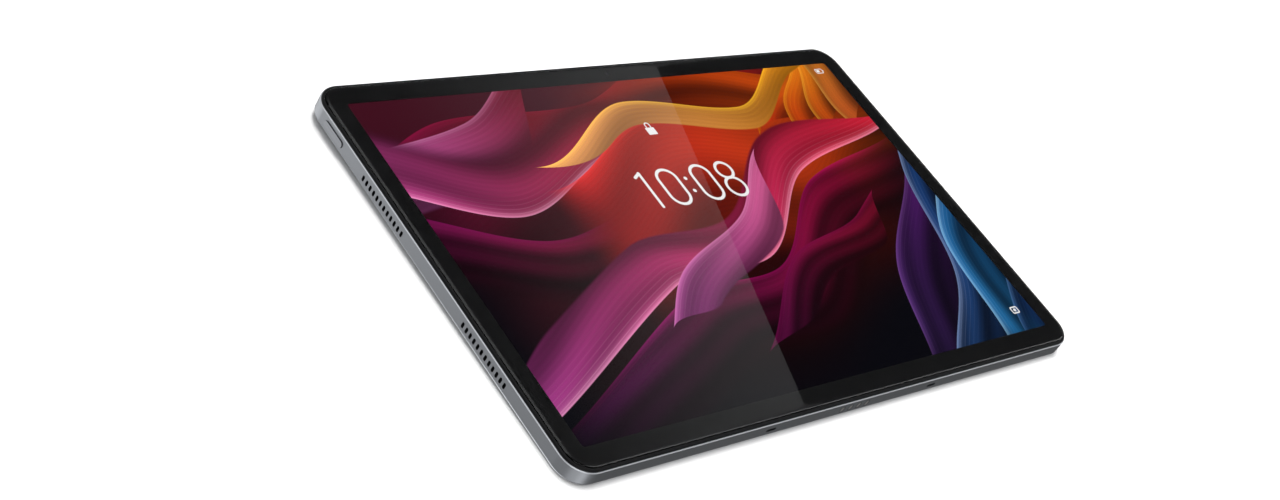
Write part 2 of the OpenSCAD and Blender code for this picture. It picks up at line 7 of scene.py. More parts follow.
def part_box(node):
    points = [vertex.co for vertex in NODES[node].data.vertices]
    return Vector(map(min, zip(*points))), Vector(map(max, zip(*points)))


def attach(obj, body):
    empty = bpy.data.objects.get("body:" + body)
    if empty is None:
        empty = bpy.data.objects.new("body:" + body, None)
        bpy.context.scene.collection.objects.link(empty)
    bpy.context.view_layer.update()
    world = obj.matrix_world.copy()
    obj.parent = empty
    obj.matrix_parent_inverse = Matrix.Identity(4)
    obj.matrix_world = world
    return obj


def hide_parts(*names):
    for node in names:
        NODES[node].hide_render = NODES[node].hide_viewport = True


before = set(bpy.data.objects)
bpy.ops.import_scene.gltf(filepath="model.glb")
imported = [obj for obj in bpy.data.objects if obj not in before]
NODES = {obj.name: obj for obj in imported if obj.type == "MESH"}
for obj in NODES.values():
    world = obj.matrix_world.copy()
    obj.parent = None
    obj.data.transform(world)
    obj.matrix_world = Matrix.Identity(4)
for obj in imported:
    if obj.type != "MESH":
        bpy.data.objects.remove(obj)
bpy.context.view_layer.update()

MM = 0.001

TURN = 2 * math.pi

# Shape of the visible pieces, in metres
BODY_HALF_W = 134.55 * MM
CORNER_R = 10 * MM
CURVE_W = 1.35 * MM
CURVE_H = 0.45 * MM
GLASS_FOOT = 0.08 * MM
FILM = 0.01 * MM
SCREEN_H = 150.3 * MM
BARREL_H = 0.52 * MM
LENS_SHARE = 0.50
LENS_RISE = 0.34 * MM
EYE_R, EYE_RISE = 1.2 * MM, 0.10 * MM

# Turned and cut metal
CHAMFER_FADE = 0.05 * MM
FRONT_CHAMFER, REAR_CHAMFER = 0.6 * MM, 0.9 * MM
RIM_R, RIM_W = 7.86 * MM, 0.10 * MM
RIM_H, RIM_FADE = 0.24 * MM, 0.06 * MM

# The camera, found from the corners in the photograph
AIM = (-47.9 * MM, -5.8 * MM)
DISTANCE = 0.676
AZIMUTH, ELEVATION, ROLL = -58.74, 35.41, 33.9
SENSOR, FOCAL_LENGTH = 36.0, 54.85

# The mirrored edge on the glass, from the lower edge to the upper
EDGE_NEAR, EDGE_FAR = (-27 * MM, -82 * MM), (28 * MM, 81 * MM)


# ---------------------------------------------------------------- shader nodes

class Field:
    """A value that varies over a surface, with ordinary arithmetic."""

    def __init__(self, net, socket):
        self.net, self.socket = net, socket

    def __add__(self, other):
        return self.net.math("ADD", self, other)

    __radd__ = __add__

    def __sub__(self, other):
        return self.net.math("SUBTRACT", self, other)

    def __rsub__(self, other):
        return self.net.math("SUBTRACT", other, self)

    def __mul__(self, other):
        return self.net.math("MULTIPLY", self, other)

    __rmul__ = __mul__

    def __truediv__(self, other):
        return self.net.math("DIVIDE", self, other)


class Net:
    """The node tree of one material, with a single Principled shader, or of the world."""

    def __init__(self, name, world=False):
        self.material = (bpy.data.worlds if world else bpy.data.materials).new(name)
        self.material.use_nodes = True
        self.tree = self.material.node_tree
        kind = "BACKGROUND" if world else "BSDF_PRINCIPLED"
        self.shader = next(n for n in self.tree.nodes if n.type == kind)
        coords = self.tree.nodes.new("ShaderNodeTexCoord")
        self.place = coords.outputs["Generated" if world else "Object"]
        split = self.tree.nodes.new("ShaderNodeSeparateXYZ")
        self.tree.links.new(self.place, split.inputs[0])
        self.x, self.y, self.z = (Field(self, split.outputs[i]) for i in range(3))

    def put(self, socket, value):
        if isinstance(value, Field):
            self.tree.links.new(value.socket, socket)
        elif isinstance(value, bpy.types.NodeSocket):
            self.tree.links.new(value, socket)
        else:
            socket.default_value = value

    def math(self, operation, a, b=0.0, c=0.0, clamp=False):
        node = self.tree.nodes.new("ShaderNodeMath")
        node.operation, node.use_clamp = operation, clamp
        for socket, value in zip(node.inputs, (a, b, c)):
            self.put(socket, value)
        return Field(self, node.outputs[0])

    def smooth(self, start, end, x):
        node = self.tree.nodes.new("ShaderNodeMapRange")
        node.interpolation_type = "SMOOTHSTEP"
        for socket, value in zip(node.inputs, (x, start, end, 0.0, 1.0)):
            self.put(socket, value)
        return Field(self, node.outputs[0])

    def mix(self, factor, a, b):
        node = self.tree.nodes.new("ShaderNodeMix")
        node.data_type = "RGBA"
        node.clamp_factor = True
        self.put(node.inputs[0], factor)
        for socket, value in ((node.inputs[6], a), (node.inputs[7], b)):
            self.put(socket, (*value, 1.0) if isinstance(value, tuple) else value)
        return node.outputs[2]

    def shade(self, colour, factor):
        """The colour made darker or lighter by a factor."""
        node = self.tree.nodes.new("ShaderNodeVectorMath")
        node.operation = "SCALE"
        self.put(node.inputs[0], colour)
        self.put(node.inputs[3], factor)
        return node.outputs[0]

    def plus(self, colour, other):
        node = self.tree.nodes.new("ShaderNodeVectorMath")
        node.operation = "ADD"
        self.put(node.inputs[0], colour)
        self.put(node.inputs[1], other)
        return node.outputs[0]

    def stretched(self, scale, turn=(0.0, 0.0, 0.0)):
        node = self.tree.nodes.new("ShaderNodeMapping")
        node.inputs["Scale"].default_value = scale
        node.inputs["Rotation"].default_value = turn
        self.tree.links.new(self.place, node.inputs["Vector"])
        return node.outputs[0]

    def noise(self, scale, detail=3.0, rough=0.5, place=None):
        node = self.tree.nodes.new("ShaderNodeTexNoise")
        self.put(node.inputs["Vector"], place or self.place)
        self.put(node.inputs["Scale"], scale)
        self.put(node.inputs["Detail"], detail)
        self.put(node.inputs["Roughness"], rough)
        return Field(self, node.outputs[0])

    def cells(self, scale, place=None):
        node = self.tree.nodes.new("ShaderNodeTexVoronoi")
        self.put(node.inputs["Vector"], place or self.place)
        self.put(node.inputs["Scale"], scale)
        return Field(self, node.outputs["Distance"])

    def tint(self, base, amount, field):
        """The base colour, varied up and down by a field from 0 to 1."""
        low = tuple(c * (1 - amount) for c in base)
        high = tuple(min(1.0, c * (1 + amount)) for c in base)
        return self.mix(field, low, high)

    def bump(self, height, distance, strength=1.0):
        node = self.tree.nodes.new("ShaderNodeBump")
        node.inputs["Strength"].default_value = strength
        node.inputs["Distance"].default_value = distance
        self.put(node.inputs["Height"], height)
        self.tree.links.new(node.outputs[0], self.shader.inputs["Normal"])

    def finish(self, **values):
        for name, value in values.items():
            socket = self.shader.inputs[name.replace("_", " ")]
            if isinstance(value, tuple) and len(value) == 3 and len(socket.default_value) == 4:
                value = (*value, 1.0)
            self.put(socket, value)
        return self.material


# ------------------------------------------------------------------- materials

def blasted_metal(name, base, roughness, cut=None):
    """Bead-blasted, anodised aluminium: fine grain with faint handling marks. Below the first of
    the heights in cut and above the second, the chamfers are bare cut metal, lighter and less
    metallic, and the lightening is also a painted highlight: the upper chamfer takes it in full,
    the lower one only 0.3 of it."""
    net = Net(name)
    grain = net.noise(9000.0, 2.0)
    cloud = net.noise(22.0, 3.0)
    net.bump(grain, 0.012 * MM, 0.5)
    rough = roughness + 0.10 * (grain - 0.5) + 0.06 * (cloud - 0.5)
    colour = net.tint(base, 0.05, (grain + cloud) * 0.5)
    metallic = 1.0
    if cut:
        upright = net.tree.nodes.new("ShaderNodeTexCoord").outputs["Normal"]
        split = net.tree.nodes.new("ShaderNodeSeparateXYZ")
        net.put(split.inputs[0], upright)
        tilt = net.math("ABSOLUTE", Field(net, split.outputs[2]))
        slanted = net.smooth(0.25, 0.4, tilt) * (1.0 - net.smooth(0.85, 0.95, tilt))
        # painted highlight: the upper chamfer is lightened in full, the lower one only 0.3
        chamfer_highlight_weight = (1.0 - net.smooth(cut[0], cut[0] + CHAMFER_FADE, net.z)) * 0.3 \
            + net.smooth(cut[1] - CHAMFER_FADE, cut[1], net.z)
        cut_and_highlight = slanted * chamfer_highlight_weight
        # bare cut metal is lighter; the doubled colour is also a painted highlight on the chamfers
        colour = net.mix(cut_and_highlight, colour, tuple(min(1.0, c * 2.1) for c in base))
        rough = rough - 0.12 * cut_and_highlight
        metallic = 1.0 - 0.6 * cut_and_highlight
    return net.finish(Base_Color=colour, Metallic=metallic, Roughness=rough)


def woven_band(name, base):
    """Satin band woven from fine threads that run both ways on the diagonal."""
    net = Net(name)
    pitch = 1.0 * MM
    warp = net.math("SINE", (net.x + net.y) * (TURN / pitch))
    weft = net.math("SINE", (net.x - net.y) * (TURN / pitch))
    weave = net.math("MAXIMUM", warp, weft * 0.6) * 0.5 + 0.5
    grain = net.noise(8000.0, 2.0)
    net.bump(weave + grain * 0.2, 0.035 * MM, 0.6)
    return net.finish(Base_Color=net.tint(base, 0.22, weave), Metallic=1.0,
                      Roughness=0.36 - 0.10 * weave + 0.05 * grain)


def gloss(name, base, roughness=0.08, metallic=0.0, coat=0.5, mirror=0.5):
    """Polished or lacquered surface with faint unevenness and wiped-on haze."""
    net = Net(name)
    haze = net.noise(60.0, 4.0)
    fine = net.noise(2500.0, 2.0)
    net.bump(fine, 0.004 * MM, 0.3)
    return net.finish(Base_Color=net.tint(base, 0.06, haze), Metallic=metallic,
                      Roughness=roughness + 0.05 * haze, Specular_IOR_Level=mirror,
                      Coat_Weight=coat, Coat_Roughness=0.03)


def lens_trim_metal(name, base, bright, centre, front):
    """Dark anodised ring, turned bright on the slanted edge round its front face."""
    net = Net(name)
    haze = net.noise(60.0, 4.0)
    far = net.math("SQRT", net.math("POWER", net.x - centre[0], 2.0)
                   + net.math("POWER", net.y - centre[1], 2.0))
    turned = net.math("SINE", far * (TURN / (0.12 * MM)))
    net.bump(turned, 0.004 * MM, 0.4)
    rim = net.smooth(RIM_R, RIM_R + RIM_W, far) \
        * (1.0 - net.smooth(front + RIM_H, front + RIM_H + RIM_FADE, net.z))
    return net.finish(Base_Color=net.mix(rim, net.tint(base, 0.15, haze), bright), Metallic=1.0,
                      Roughness=0.26 - 0.10 * rim + 0.06 * haze)


def moulded(name, base, roughness=0.5, grain_size=0.25 * MM, depth=0.02 * MM, mirror=0.5):
    """Moulded plastic or rubber with a fine eroded texture."""
    net = Net(name)
    pits = net.cells(1.0 / grain_size)
    cloud = net.noise(150.0, 3.0)
    net.bump(pits + cloud * 0.3, depth, 0.6)
    return net.finish(Base_Color=net.tint(base, 0.15, cloud), Specular_IOR_Level=mirror,
                      Roughness=roughness + 0.12 * (cloud - 0.5) + 0.08 * pits)


def rolled_metal(name, base, roughness=0.35, turn=0.0):
    """Stamped sheet or plated metal with streaks along the rolling direction."""
    net = Net(name)
    streaks = net.noise(1.0, 3.0, place=net.stretched((150.0, 6000.0, 6000.0), (0.0, 0.0, turn)))
    cloud = net.noise(300.0, 3.0)
    net.bump(streaks, 0.01 * MM, 0.5)
    return net.finish(Base_Color=net.tint(base, 0.12, (streaks + cloud) * 0.5), Metallic=1.0,
                      Roughness=roughness + 0.2 * (streaks - 0.5) + 0.1 * (cloud - 0.5))


def circuit_board(name):
    """Green solder mask over copper tracks, with plated points."""
    net = Net(name)
    pitch = 1.4 * MM
    bend = net.math("SNAP", net.noise(90.0, 1.0) * 8.0, 1.0)
    rows = net.math("SINE", (net.y + bend * 0.3 * MM) * (TURN / pitch))
    columns = net.math("SINE", (net.x + bend * 0.4 * MM) * (TURN / pitch))
    choice = net.smooth(0.48, 0.52, net.noise(45.0, 1.0))
    track = net.smooth(0.55, 0.75, rows * choice + columns * (1.0 - choice))
    points = 1.0 - net.smooth(0.10, 0.16, net.cells(1 / (2.6 * MM)))
    mask = net.mix(track, (0.010, 0.075, 0.045), (0.022, 0.16, 0.085))
    net.bump(track * 0.6 + points, 0.03 * MM, 0.7)
    return net.finish(Base_Color=net.mix(points, mask, (0.80, 0.58, 0.22)), Metallic=points,
                      Roughness=0.38 - 0.1 * track, Coat_Weight=0.3, Coat_Roughness=0.15)


def chip_package(name):
    """Black epoxy with a fine matt grain."""
    net = Net(name)
    grain = net.noise(5000.0, 3.0)
    cloud = net.noise(200.0, 2.0)
    net.bump(grain, 0.015 * MM, 0.7)
    return net.finish(Base_Color=net.tint((0.018, 0.018, 0.020), 0.3, cloud),
                      Roughness=0.55 + 0.15 * grain)


def flex_film(name):
    """Amber polyimide film with copper tracks showing through."""
    net = Net(name)
    lanes = net.math("SINE", (net.x + net.y) * (TURN / (0.8 * MM)))
    track = net.smooth(0.0, 0.3, lanes)
    cloud = net.noise(120.0, 3.0)
    net.bump(track, 0.02 * MM, 0.6)
    film = net.mix(track, (0.30, 0.12, 0.025), (0.55, 0.24, 0.06))
    return net.finish(Base_Color=net.mix(cloud * 0.4, film, (0.22, 0.09, 0.02)),
                      Roughness=0.30 + 0.15 * cloud, Coat_Weight=0.4, Coat_Roughness=0.1)


def foil(name, base, roughness, crease=0.05 * MM):
    """Laminated pouch or foil: soft wrinkles, a few sharper creases."""
    net = Net(name)
    wrinkles = net.noise(70.0, 4.0, 0.6)
    creases = net.cells(45.0)
    net.bump(wrinkles + creases * 0.4, crease, 0.8)
    return net.finish(Base_Color=net.tint(base, 0.2, wrinkles), Metallic=0.3,
                      Roughness=roughness + 0.2 * (wrinkles - 0.5))


def dust_mesh(name):
    """Woven dust mesh behind the grilles."""
    net = Net(name)
    pitch = 0.22 * MM
    threads = net.math("SINE", net.y * (TURN / pitch))
    other = net.math("SINE", net.z * (TURN / pitch))
    weave = net.math("MAXIMUM", threads, other) * 0.5 + 0.5
    net.bump(weave, 0.03 * MM, 0.8)
    return net.finish(Base_Color=net.tint((0.012, 0.012, 0.013), 0.6, weave), Roughness=0.75)


def border_print(name):
    """Black print bonded to the back of the glass, with a barely visible screen-print dot."""
    net = Net(name)
    cloud = net.noise(80.0, 3.0)
    dots = net.cells(1 / (0.25 * MM))
    net.bump(dots, 0.004 * MM, 0.3)
    return net.finish(Base_Color=net.tint((0.055, 0.055, 0.057), 0.12, cloud),
                      Roughness=0.6 + 0.1 * cloud, Specular_IOR_Level=0.0)


def clear_glass(name, tint=(1.0, 1.0, 1.0), index=1.5):
    """Clear glass with a very faint waviness. A lower index stands for a coating against glare."""
    net = Net(name)
    net.bump(net.noise(14.0, 2.0), 0.0006 * MM, 0.15)
    return net.finish(Base_Color=tint, Roughness=0.0, IOR=index, Transmission_Weight=1.0)


def fresnel_plastic(name, centre):
    """Milky flash lens with fine concentric steps round its centre."""
    net = Net(name)
    far = net.math("SQRT", net.math("POWER", net.x - centre[0], 2.0)
                   + net.math("POWER", net.y - centre[1], 2.0))
    steps = net.math("FRACT", far / (0.28 * MM))
    net.bump(steps, 0.08 * MM, 0.8)
    glow = 1.0 - net.smooth(0.4 * MM, 1.6 * MM, far)
    return net.finish(Base_Color=net.mix(glow, (0.80, 0.79, 0.74), (0.90, 0.74, 0.30)),
                      Roughness=0.22 + 0.08 * steps, Coat_Weight=0.6, Coat_Roughness=0.05)


# ------------------------------------------------------------- screen's picture

class Picture:
    """The lit picture, built on a plane of u to the right and v upwards, one screen height long."""

    def __init__(self, net):
        self.net = net
        self.place = self.u, self.v = net.x / SCREEN_H, net.y / SCREEN_H
        self.colour = None

    def lay(self, colour):
        """Takes the picture so far. The place is tied to it by a hair, so that the renderer works
        through the layers one after the other."""
        self.colour = colour
        self.u, self.v = (self.net.math("MULTIPLY_ADD", colour, 1e-7, a) for a in self.place)

    def wave(self, s, stops):
        """A smooth wave through its peaks and troughs."""
        t = stops[0][1]
        for (s0, t0), (s1, t1) in zip(stops, stops[1:]):
            t = self.net.smooth(s0, s1, s) * (t1 - t0) + t
        return t

    def sheet(self, turn, at, edge, side, width, tones, ends, rim, pleats, depth, phase, reach,
              pointed=False):
        """Lays one silk sheet over the picture. Its crisp edge is a wave along a turned line, and
        it reaches away from the edge to one side, fading over its width."""
        net = self.net
        c, n = math.cos(math.radians(turn)), math.sin(math.radians(turn))
        right, up = self.u - at[0], self.v - at[1]
        s = right * c + up * n
        d = (up * c - right * n - self.wave(s, edge)) * side
        inside = net.math("MAXIMUM", d, 0.0)
        swell = net.math("SINE", s * 6.0 + phase) * 1.5 + phase
        fold = net.math("SINE", d * (pleats * TURN / width) + swell)
        weave = net.math("SINE", d * 420.0 + net.math("SINE", s * 7.0 + phase) * 5.0)
        light = net.math("EXPONENT", d * (-1.0 / width), clamp=True)
        light = light * (1.0 - depth / 2 - fold * (depth / 2)) * (0.96 - weave * 0.04)
        threads = net.math("COSINE", inside * (TURN / 0.013) + swell * 0.7)
        threads = net.math("POWER", net.math("MAXIMUM", threads, 0.0), 6.0)
        glow = net.math("EXPONENT", inside * -150.0) \
            + net.math("EXPONENT", inside * -45.0) * threads * 0.35
        tone = net.mix(net.smooth(ends[0], ends[3], s), *tones)
        lit = net.plus(net.shade(tone, light), net.shade(rim, glow))
        along = net.smooth(ends[0], ends[1], s) * (1.0 - net.smooth(ends[2], ends[3], s))
        if pointed:
            limit = along * reach
            cover = 1.0 - net.smooth(limit * 0.94, limit + 0.0001, d)
        else:
            cover = along * (1.0 - net.smooth(reach * 0.7, reach, d))
        self.lay(net.mix(cover * net.smooth(0.0, 0.003, d), self.colour, lit))

    def mark(self, distance, edge=0.0012):
        """Paints white wherever a signed distance is below zero."""
        ink = 1.0 - self.net.smooth(-edge, edge, distance)
        self.lay(self.net.mix(ink, self.colour, (0.92, 0.92, 0.92)))

    def stadium(self, at, half, radius):
        """Signed distance to a bar with round ends. half is its straight part to each side."""
        net = self.net
        dx = net.math("MAXIMUM", net.math("ABSOLUTE", self.u - at[0]) - half[0], 0.0)
        dy = net.math("MAXIMUM", net.math("ABSOLUTE", self.v - at[1]) - half[1], 0.0)
        return net.math("SQRT", dx * dx + dy * dy) - radius

    def slanted(self, at, turn, half, radius):
        """Signed distance to a short turned bar with round ends."""
        net = self.net
        c, n = math.cos(math.radians(turn)), math.sin(math.radians(turn))
        right, up = self.u - at[0], self.v - at[1]
        along = net.math("MAXIMUM", net.math("ABSOLUTE", right * c + up * n) - half, 0.0)
        across = up * c - right * n
        return net.math("SQRT", along * along + across * across) - radius

    def outline(self, distance, thick):
        return self.net.math("ABSOLUTE", distance) - thick / 2

    def either(self, a, b):
        return self.net.math("MINIMUM", a, b)


def paint_waves(p):
    """Layered silk waves of no particular place or thing, from back to front."""
    glow = p.net.smooth(-0.1, 0.5, p.v) * (1.0 - p.net.smooth(0.1, 0.8, p.u))
    p.lay(p.net.mix(glow, (0.001, 0.001, 0.003), (0.05, 0.004, 0.012)))
    middle = [(-0.95, 0.0), (-0.3, 0.03), (0.06, -0.08), (0.46, 0.02), (0.95, -0.05)]
    # crimson hill at the top left and the glow along the top
    p.sheet(9, (-0.5, 0.33), [(-0.5, 0.02), (-0.1, 0.11), (0.35, 0.05), (0.8, 0.16)], -1, 0.26,
            ((0.16, 0.004, 0.04), (0.6, 0.02, 0.01)), (-0.45, -0.2, 0.9, 1.2),
            (0.08, 0.0, 0.01), 0.9, 0.5, 0.3, 1)
    p.sheet(-6, (0.3, 0.53), [(-0.5, -0.03), (-0.1, 0.02), (0.35, -0.03), (0.6, 0.02)], -1, 0.12,
            ((0.35, 0.01, 0.004), (1.0, 0.13, 0.004)), (-0.6, -0.1, 0.5, 0.8),
            (0.1, 0.02, 0.0), 1.1, 0.6, 0.9, 0.4)
    # magenta petals, left
    p.sheet(18, (-0.8, 0.36), [(-0.2, 0.02), (0.25, -0.03), (0.6, 0.06)], -1, 0.12,
            ((0.6, 0.12, 0.42), (0.4, 0.01, 0.03)), (-0.3, -0.1, 0.25, 0.66),
            (0.26, 0.12, 0.2), 0.8, 0.5, 0.9, 0.2, True)
    p.sheet(-4, (-0.6, 0.13), [(-0.4, 0.1), (0.02, -0.02), (0.45, 0.16), (0.8, 0.1)], 1, 0.13,
            ((0.66, 0.1, 0.46), (0.5, 0.012, 0.02)), (-0.9, -0.6, 0.34, 0.66),
            (0.55, 0.3, 0.42), 0.9, 0.5, 0.0, 0.22)
    # plum folds under them
    p.sheet(-8, (-0.6, 0.06), [(-0.4, 0.08), (0.05, -0.02), (0.5, 0.12), (0.9, 0.1)], -1, 0.06,
            ((0.16, 0.006, 0.09), (0.22, 0.004, 0.02)), (-0.7, -0.3, 0.2, 0.6),
            (0.05, 0.0, 0.03), 0.8, 0.6, 2.0, 0.2)
    # wide red sheet
    p.sheet(2, (0.0, 0.33), [(-0.45, -0.14), (0.02, 0.03), (0.36, -0.03), (0.75, 0.16)], -1, 0.24,
            ((0.75, 0.02, 0.024), (1.0, 0.09, 0.004)), (-0.48, -0.3, 0.5, 0.85),
            (0.3, 0.02, 0.02), 0.8, 0.5, 0.6, 0.5)
    # orange fans, top right
    p.sheet(-140, (0.66, 0.5), [(0.0, 0.0), (0.25, -0.05), (0.55, 0.04)], 1, 0.1,
            ((1.0, 0.2, 0.006), (0.85, 0.03, 0.006)), (-0.1, 0.06, 0.14, 0.40),
            (0.35, 0.14, 0.0), 1.0, 0.6, 0.4, 0.14, True)
    p.sheet(-120, (0.7, 0.52), [(0.0, 0.0), (0.22, -0.06), (0.5, 0.03)], 1, 0.1,
            ((1.0, 0.26, 0.008), (0.8, 0.05, 0.004)), (-0.1, 0.06, 0.14, 0.36),
            (0.45, 0.22, 0.01), 1.0, 0.6, 1.4, 0.15, True)
    p.sheet(-100, (0.72, 0.52), [(0.0, 0.0), (0.2, -0.06), (0.5, 0.05)], 1, 0.1,
            ((1.0, 0.3, 0.01), (0.8, 0.08, 0.006)), (-0.1, 0.06, 0.12, 0.32),
            (0.45, 0.26, 0.02), 1.0, 0.65, 2.4, 0.15, True)
    p.sheet(-80, (0.74, 0.52), [(0.0, 0.0), (0.2, -0.05), (0.5, 0.05)], 1, 0.12,
            ((0.95, 0.3, 0.03), (0.75, 0.12, 0.02)), (-0.1, 0.06, 0.10, 0.29),
            (0.4, 0.24, 0.04), 1.0, 0.6, 0.4, 0.25, True)
    # orange ribbon
    p.sheet(2, (0.0, 0.385),
            [(-0.42, -0.12), (-0.02, 0.045), (0.36, -0.025), (0.72, 0.16)], -1, 0.2,
            ((1.0, 0.42, 0.14), (1.0, 0.34, 0.0)), (-0.46, -0.16, 0.68, 0.9),
            (0.5, 0.34, 0.0), 0.9, 0.5, 0.2, 0.085, True)
    # crimson folds under the pink band
    p.sheet(23, (0.0, -0.1), middle, -1, 0.06,
            ((0.1, 0.006, 0.1), (0.46, 0.004, 0.05)), (-1.0, -0.5, 0.5, 0.95),
            (0.12, 0.0, 0.05), 0.8, 0.6, 0.4, 0.24)
    p.sheet(29, (0.16, -0.17), [(-0.4, -0.03), (0.0, 0.04), (0.35, -0.04)], -1, 0.05,
            ((0.12, 0.004, 0.06), (0.28, 0.004, 0.03)), (-0.4, -0.1, 0.3, 0.5),
            (0.08, 0.0, 0.03), 1.0, 0.6, 1.4, 0.11, True)
    # pink band across the middle
    p.sheet(23, (0.0, -0.067), middle, 1, 0.12,
            ((0.42, 0.06, 0.34), (1.0, 0.02, 0.05)), (-1.4, -0.7, 0.5, 1.15),
            (0.65, 0.32, 0.45), 1.0, 0.5, 1.2, 0.15, True)
    p.sheet(31, (0.02, 0.02),
            [(-0.62, -0.06), (-0.28, 0.015), (0.05, -0.03), (0.35, 0.03)], -1, 0.1,
            ((0.4, 0.05, 0.3), (0.95, 0.16, 0.42)), (-0.5, -0.3, 0.1, 0.36),
            (0.4, 0.16, 0.28), 1.0, 0.5, 0.7, 0.12, True)
    # purple and blue folds, right
    p.sheet(52, (0.6, -0.12), [(-0.55, -0.04), (-0.15, 0.04), (0.3, -0.03)], -1, 0.08,
            ((0.05, 0.02, 0.12), (0.12, 0.01, 0.2)), (-0.6, -0.3, 0.4, 0.6),
            (0.1, 0.04, 0.14), 0.9, 0.6, 0.0, 0.4)
    p.sheet(58, (0.66, -0.22), [(-0.45, 0.05), (-0.05, -0.03), (0.35, 0.05)], -1, 0.08,
            ((0.02, 0.07, 0.22), (0.01, 0.06, 0.24)), (-0.6, -0.3, 0.5, 0.7),
            (0.22, 0.3, 0.5), 1.0, 0.7, 1.1, 0.5)
    p.sheet(66, (0.76, -0.16), [(-0.4, -0.05), (-0.02, 0.03), (0.3, -0.04)], -1, 0.09,
            ((0.02, 0.2, 0.48), (0.01, 0.09, 0.32)), (-0.42, -0.3, 0.4, 0.6),
            (0.28, 0.5, 0.66), 0.9, 0.7, 2.0, 0.5)
    p.sheet(74, (0.86, -0.22), [(-0.3, 0.04), (0.05, -0.04), (0.3, 0.03)], -1, 0.08,
            ((0.01, 0.05, 0.18), (0.005, 0.04, 0.2)), (-0.4, -0.2, 0.3, 0.5),
            (0.06, 0.14, 0.26), 0.9, 0.7, 0.6, 0.5)


def paint_clock(p):
    """Generic clock digits, 10:08, in thin round-ended strokes."""
    y, stroke = 0.135, 0.0085
    p.mark(p.stadium((-0.146, y), (0.0, 0.056), stroke / 2))
    p.mark(p.slanted((-0.156, y + 0.0495), 30, 0.0115, stroke / 2))
    for x in (-0.067, 0.051):
        p.mark(p.outline(p.stadium((x, y), (0.0, 0.026), 0.0315), stroke))
    for dy in (-0.021, 0.021):
        p.mark(p.stadium((-0.009, y + dy), (0.0, 0.0), 0.0055))
    p.mark(p.outline(p.stadium((0.139, y + 0.0305), (0.0, 0.0), 0.0265), stroke))
    p.mark(p.outline(p.stadium((0.139, y - 0.0265), (0.0, 0.0), 0.031), stroke))


def paint_icons(p):
    """Padlock, battery and camera signs."""
    p.mark(p.stadium((0.0, 0.321), (0.0125, 0.0095), 0.0025))
    p.mark(p.outline(p.stadium((0.0, 0.338), (0.0, 0.004), 0.0075), 0.0035))
    p.mark(p.outline(p.stadium((0.787, 0.472), (0.0105, 0.0045), 0.0035), 0.0025), 0.0008)
    p.mark(p.stadium((0.783, 0.472), (0.0055, 0.0035), 0.001), 0.0008)
    p.mark(p.stadium((0.8045, 0.472), (0.0, 0.0015), 0.0015), 0.0008)
    p.mark(p.either(p.outline(p.stadium((0.765, -0.432), (0.009, 0.0055), 0.004), 0.004),
                    p.stadium((0.765, -0.432), (0.0, 0.0), 0.005)))


def lit_screen(name, top):
    net = Net(name)
    picture = Picture(net)
    paint_waves(picture)
    paint_clock(picture)
    paint_icons(picture)
    face = net.math("GREATER_THAN", net.z, top - 0.05 * MM)
    dots = 1.0 - 0.03 * net.math("SINE", net.x * (TURN / (0.25 * MM)))
    return net.finish(Base_Color=(0.001, 0.001, 0.0014), Roughness=0.5,
                      Specular_IOR_Level=0.0, Emission_Color=net.shade(picture.colour, face * dots),
                      Emission_Strength=1.1)


# ---------------------------------------------------------------------- meshes

def new_piece(name, verts, faces, body, material, slot, sharp=30.0):
    """A mesh piece of the object, smooth except at edges sharper than the given angle."""
    mesh = bpy.data.meshes.new(name)
    mesh.from_pydata([tuple(v) for v in verts], [], faces)
    mesh.validate()
    mesh.shade_smooth()
    mesh.set_sharp_from_angle(angle=math.radians(sharp))
    mesh.materials.append(material)
    piece = bpy.data.objects.new(name, mesh)
    bpy.context.scene.collection.objects.link(piece)
    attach(piece, body)
    return piece


def rounded_outline(width, height, radius, steps=20):
    """Points round a rectangle with round corners, anticlockwise."""
    points = []
    for cx, cy, start in ((1, 1, 0), (-1, 1, 90), (-1, -1, 180), (1, -1, 270)):
        for i in range(steps + 1):
            a = math.radians(start + 90 * i / steps)
            points.append((cx * (width / 2 - radius) + radius * math.cos(a),
                           cy * (height / 2 - radius) + radius * math.sin(a)))
    return points


def loft(rings):
    """Vertices and faces of a closed solid through rings of equal length, capped at both ends."""
    n = len(rings[0])
    verts = [p for ring in rings for p in ring]
    faces = [list(reversed(range(n))), [(len(rings) - 1) * n + i for i in range(n)]]
    for k in range(len(rings) - 1):
        for i in range(n):
            j = (i + 1) % n
            faces.append([k * n + i, k * n + j, (k + 1) * n + j, (k + 1) * n + i])
    return verts, faces


def lathe(centre, profile, steps=64):
    """A closed solid turned round the Z axis at a centre. The profile runs (radius, z) upwards or
    downwards round its section, and is closed on the axis where its radius is 0."""
    verts, faces, rings = [], [], []
    for r, z in profile:
        if r == 0:
            rings.append([len(verts)])
            verts.append((centre[0], centre[1], z))
            continue
        rings.append(list(range(len(verts), len(verts) + steps)))
        for i in range(steps):
            a = TURN * i / steps
            verts.append((centre[0] + r * math.cos(a), centre[1] + r * math.sin(a), z))
    for low, high in zip(rings, rings[1:]):
        for i in range(steps):
            j = (i + 1) % steps
            if len(low) == 1:
                faces.append([low[0], high[j], high[i]])
            elif len(high) == 1:
                faces.append([low[i], low[j], high[0]])
            else:
                faces.append([low[i], low[j], high[j], high[i]])
    return verts, faces


def middle(node):
    low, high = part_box(node)
    return (low + high) / 2


